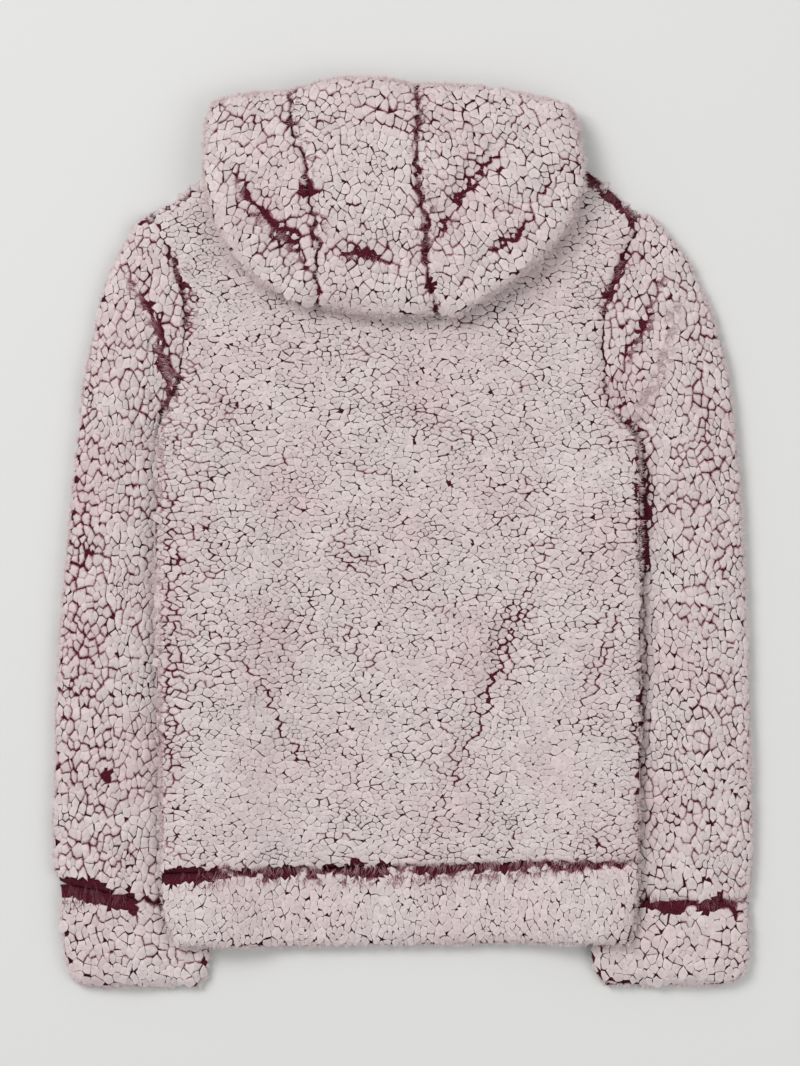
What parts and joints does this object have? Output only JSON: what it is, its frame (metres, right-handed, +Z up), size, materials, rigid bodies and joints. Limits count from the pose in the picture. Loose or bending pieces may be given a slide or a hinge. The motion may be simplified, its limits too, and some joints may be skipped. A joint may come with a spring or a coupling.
{
  "type": "sherpa sweat jacket",
  "caption": "Hooded sherpa fleece sweat jacket laid face down on its closed front zip, back up, with its hood folded onto the back and its sleeves at its sides.",
  "frame": {"origin": "on the surface that the jacket lies on, under the middle of its outline", "axes": "+Y from the hem to the hood, +X to the right seen from above, +Z up, out of the back"},
  "size_m": [0.5814, 0.7556, 0.0459],
  "materials": {
    "sherpa": "curled fleece pile, pale grey pink tips over burgundy roots",
    "zip_tape": "woven burgundy tape",
    "zip_teeth": "satin burgundy coil",
    "zip_metal": "dark satin metal"
  },
  "bodies": {
    "garment": {"back": "sherpa", "front_left": "sherpa", "front_right": "sherpa", "hem_back": "sherpa", "hem_front_left": "sherpa", "hem_front_right": "sherpa", "sleeve_left": "sherpa", "sleeve_right": "sherpa", "cuff_left": "sherpa", "cuff_right": "sherpa", "hood_left": "sherpa", "hood_centre": "sherpa", "hood_right": "sherpa", "zip_tape_left": "zip_tape", "zip_tape_right": "zip_tape", "zip_chain": "zip_teeth", "zip_slider": "zip_metal"},
    "pull": {"zip_pull": "zip_metal"}
  },
  "joints": [
    {"name": "pull_swing", "type": "hinge", "parent": "garment", "child": "pull", "pos_m": [-0.0032, 0.2522, 0.0017], "axis": [1, 0, 0], "range_deg": [0, 150]}
  ]
}
